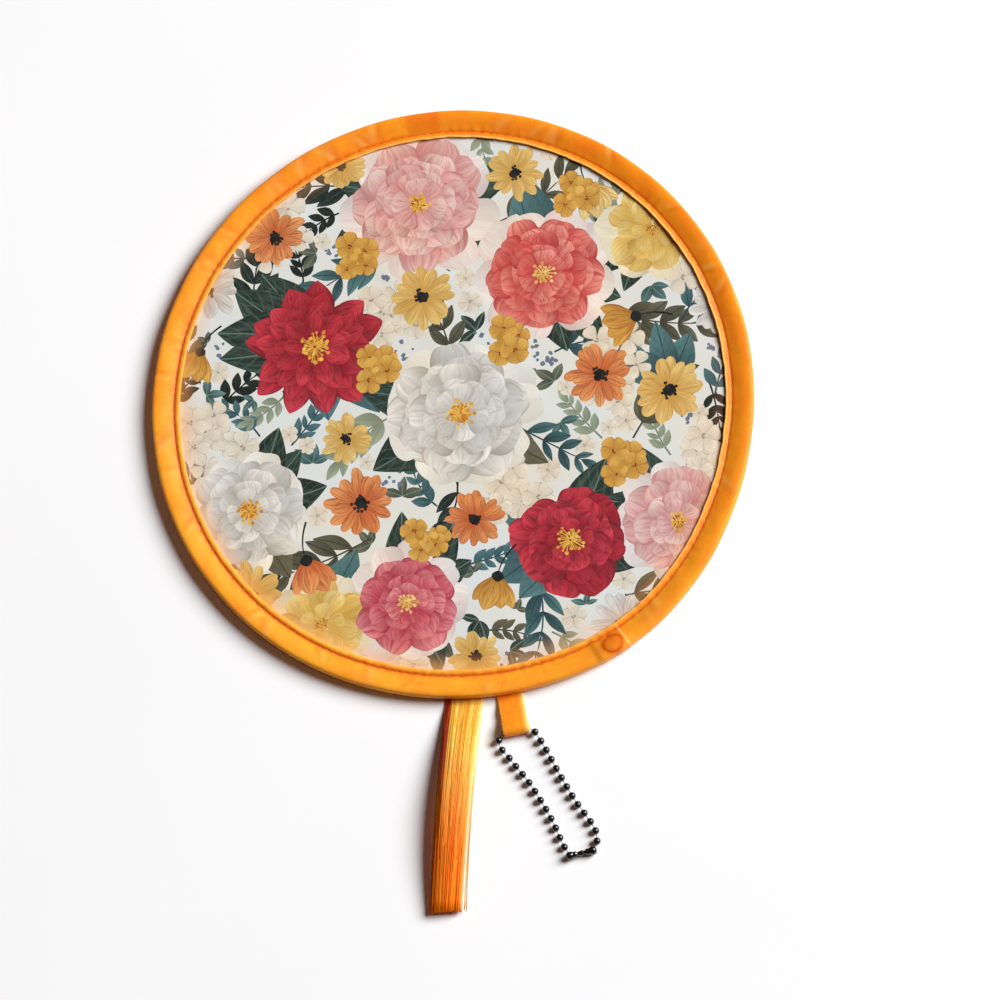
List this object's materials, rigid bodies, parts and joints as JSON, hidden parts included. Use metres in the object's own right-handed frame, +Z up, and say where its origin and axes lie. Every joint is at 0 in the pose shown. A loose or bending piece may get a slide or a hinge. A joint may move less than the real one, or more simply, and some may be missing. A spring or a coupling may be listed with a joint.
{
  "type": "round folding hand fan",
  "caption": "Round pop-open hand fan: printed cloth on a spring hoop in a sewn satin binding, with a ribbon tab, a ball-chain loop and a strand tassel.",
  "frame": {"origin": "On the surface that the fan lies on, under the middle of the whole object's box, tassel and tab included.", "axes": "+Z is up, square to the cloth's printed face. -Y runs from the disc's centre to the tassel. +X is to the right of the tassel, seen from above with the tassel at the bottom."},
  "size_m": [0.2002, 0.2722, 0.0072],
  "materials": {
    "orange_satin": "woven satin binding tape with a soft sheen, sewn near its inner edge",
    "orange_ribbon": "smooth satin ribbon, folded double",
    "tassel_strand": "straight glossy rayon strands, cut square",
    "printed_cloth": null,
    "spring_steel": "plain flat spring strip",
    "black_metal": "glossy black plated ball chain"
  },
  "bodies": {
    "fan": {"edge_binding": "orange_satin", "hoop_ferrule": "spring_steel", "printed_cloth": "printed_cloth", "spring_hoop": "spring_steel", "tab_sewn_end": "orange_ribbon", "tassel_sewn_end": "tassel_strand"},
    "tab": {"ribbon_tab": "orange_ribbon"},
    "chain_top": {"chain_bead_left_00": "black_metal", "chain_bead_left_01": "black_metal", "chain_bead_left_02": "black_metal", "chain_bead_middle": "black_metal", "chain_bead_right_00": "black_metal", "chain_bead_right_01": "black_metal", "chain_bead_right_02": "black_metal"},
    "chain_1": {"chain_bead_left_03": "black_metal", "chain_bead_left_04": "black_metal", "chain_bead_left_05": "black_metal", "chain_bead_right_03": "black_metal", "chain_bead_right_04": "black_metal", "chain_bead_right_05": "black_metal"},
    "chain_2": {"chain_bead_left_06": "black_metal", "chain_bead_left_07": "black_metal", "chain_bead_left_08": "black_metal", "chain_bead_right_06": "black_metal", "chain_bead_right_07": "black_metal", "chain_bead_right_08": "black_metal"},
    "chain_3": {"chain_bead_left_09": "black_metal", "chain_bead_left_10": "black_metal", "chain_bead_left_11": "black_metal", "chain_bead_right_09": "black_metal", "chain_bead_right_10": "black_metal", "chain_bead_right_11": "black_metal"},
    "chain_4": {"chain_bead_left_12": "black_metal", "chain_bead_left_13": "black_metal", "chain_bead_left_14": "black_metal", "chain_bead_right_12": "black_metal", "chain_bead_right_13": "black_metal", "chain_bead_right_14": "black_metal", "chain_clasp": "black_metal"},
    "tassel": {"tassel_strands": "tassel_strand"}
  },
  "joints": [
    {"name": "tab_flex", "type": "hinge", "parent": "fan", "child": "tab", "pos_m": [0.02017, -0.06436, 0.00045], "axis": [-0.9803, -0.1977, 0], "range_deg": [-85, 75]},
    {"name": "chain_swing", "type": "hinge", "parent": "tab", "child": "chain_top", "pos_m": [0.02235, -0.07514, 0.00218], "axis": [-0.9803, -0.1977, 0], "range_deg": [-110, 110]},
    {"name": "chain_bend_1", "type": "hinge", "parent": "chain_top", "child": "chain_1", "pos_m": [0.02585, -0.08293, 0.00127], "axis": [0.9797, 0.2004, 0.003], "range_deg": [-20, 20]},
    {"name": "chain_bend_2", "type": "hinge", "parent": "chain_1", "child": "chain_2", "pos_m": [0.03167, -0.09176, 0.00127], "axis": [0.9904, 0.1381, 0.0035], "range_deg": [-20, 20]},
    {"name": "chain_bend_3", "type": "hinge", "parent": "chain_2", "child": "chain_3", "pos_m": [0.03723, -0.1008, 0.00127], "axis": [0.9917, 0.1282, 0.0036], "range_deg": [-20, 20]},
    {"name": "chain_bend_4", "type": "hinge", "parent": "chain_3", "child": "chain_4", "pos_m": [0.04258, -0.10994, 0.00127], "axis": [0.9844, 0.1757, 0.0032], "range_deg": [-20, 20]},
    {"name": "tassel_swing", "type": "hinge", "parent": "fan", "child": "tassel", "pos_m": [0.00506, -0.06561, 0.00045], "axis": [-0.9987, -0.0506, 0], "range_deg": [-85, 75]}
  ]
}
